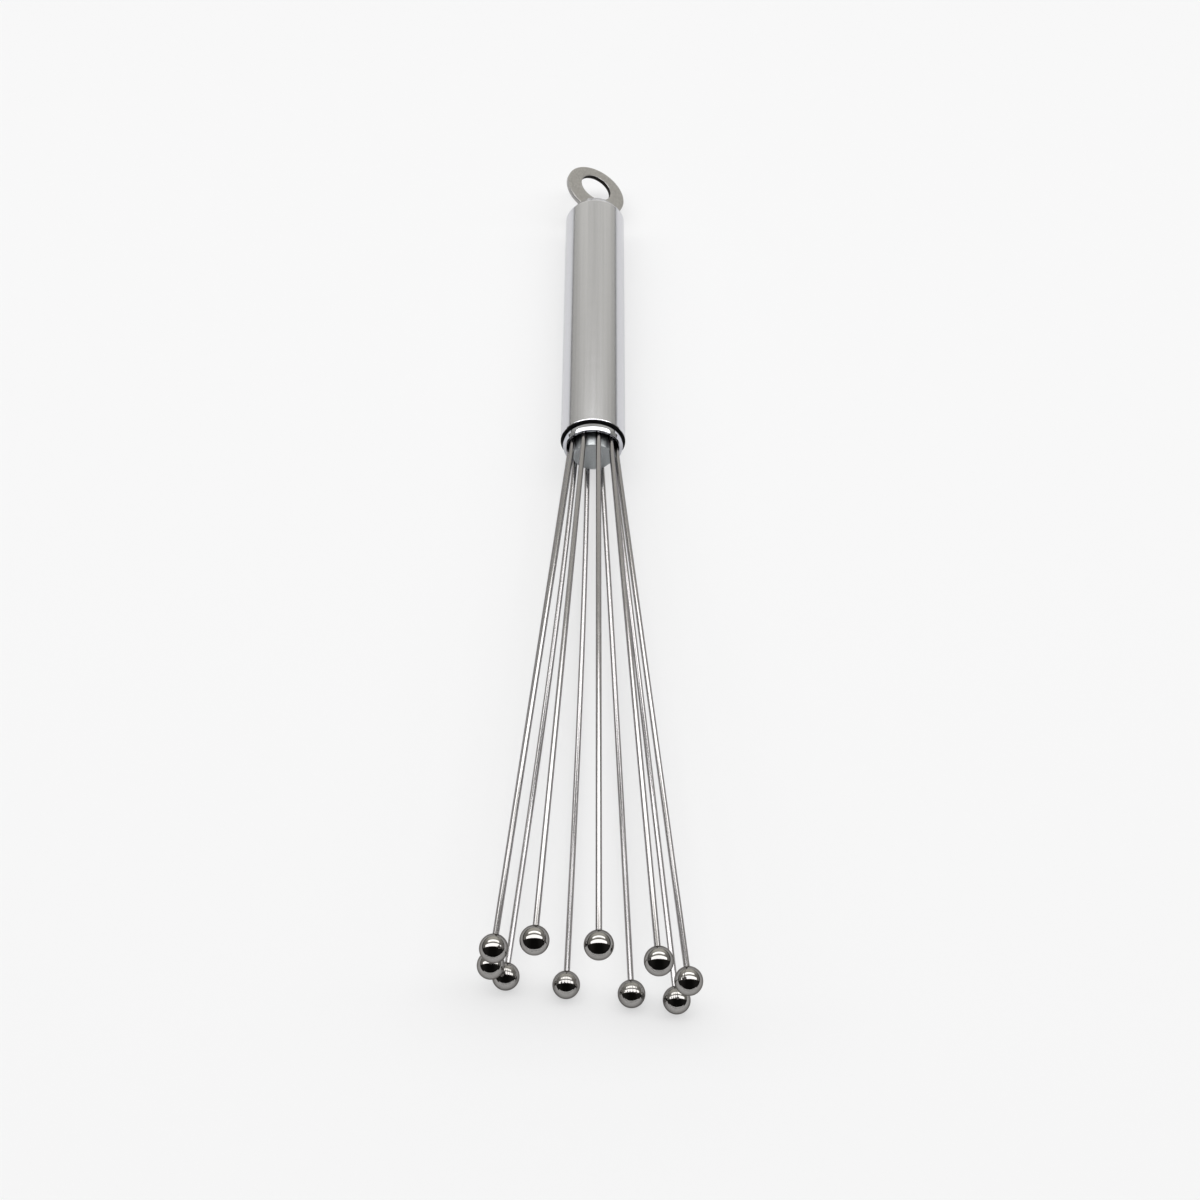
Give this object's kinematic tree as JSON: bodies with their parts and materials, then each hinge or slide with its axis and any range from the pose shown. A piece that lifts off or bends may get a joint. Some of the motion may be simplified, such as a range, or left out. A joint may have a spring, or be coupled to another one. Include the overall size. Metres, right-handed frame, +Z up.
{
  "type": "ball whisk",
  "caption": "Ball whisk: a round brushed-steel handle with a hanging ring, and thin straight steel wires that fan from a polished sleeve, each with a small ball on its tip.",
  "frame": {"origin": "middle of the whisk's footprint, on the surface that it lies on", "axes": "+Y from the balls to the hanging ring, +Z up, +X to the right seen from the balls"},
  "size_m": [0.0502, 0.2724, 0.041],
  "materials": {
    "handle_steel": "satin, brushed round the handle",
    "ring_steel": "fine satin, stamped sheet",
    "polished_steel": "mirror polished",
    "wire_steel": "bright drawn wire",
    "ball_steel": "mirror polished",
    "core_steel": "matt grey, as turned",
    "black_rubber": "matt black"
  },
  "bodies": {
    "root": {"handle_tube": "handle_steel", "end_cap": "polished_steel", "hanging_ring": "ring_steel", "ferrule_sleeve": "polished_steel", "seal_ring": "black_rubber", "wedge_core": "core_steel", "wire_anchor": "core_steel", "wire_01": "wire_steel", "wire_02": "wire_steel", "wire_03": "wire_steel", "wire_04": "wire_steel", "wire_05": "wire_steel", "wire_06": "wire_steel", "wire_07": "wire_steel", "wire_08": "wire_steel", "wire_09": "wire_steel", "wire_10": "wire_steel", "ball_01": "ball_steel", "ball_02": "ball_steel", "ball_03": "ball_steel", "ball_04": "ball_steel", "ball_05": "ball_steel", "ball_06": "ball_steel", "ball_07": "ball_steel", "ball_08": "ball_steel", "ball_09": "ball_steel", "ball_10": "ball_steel"}
  },
  "joints": []
}
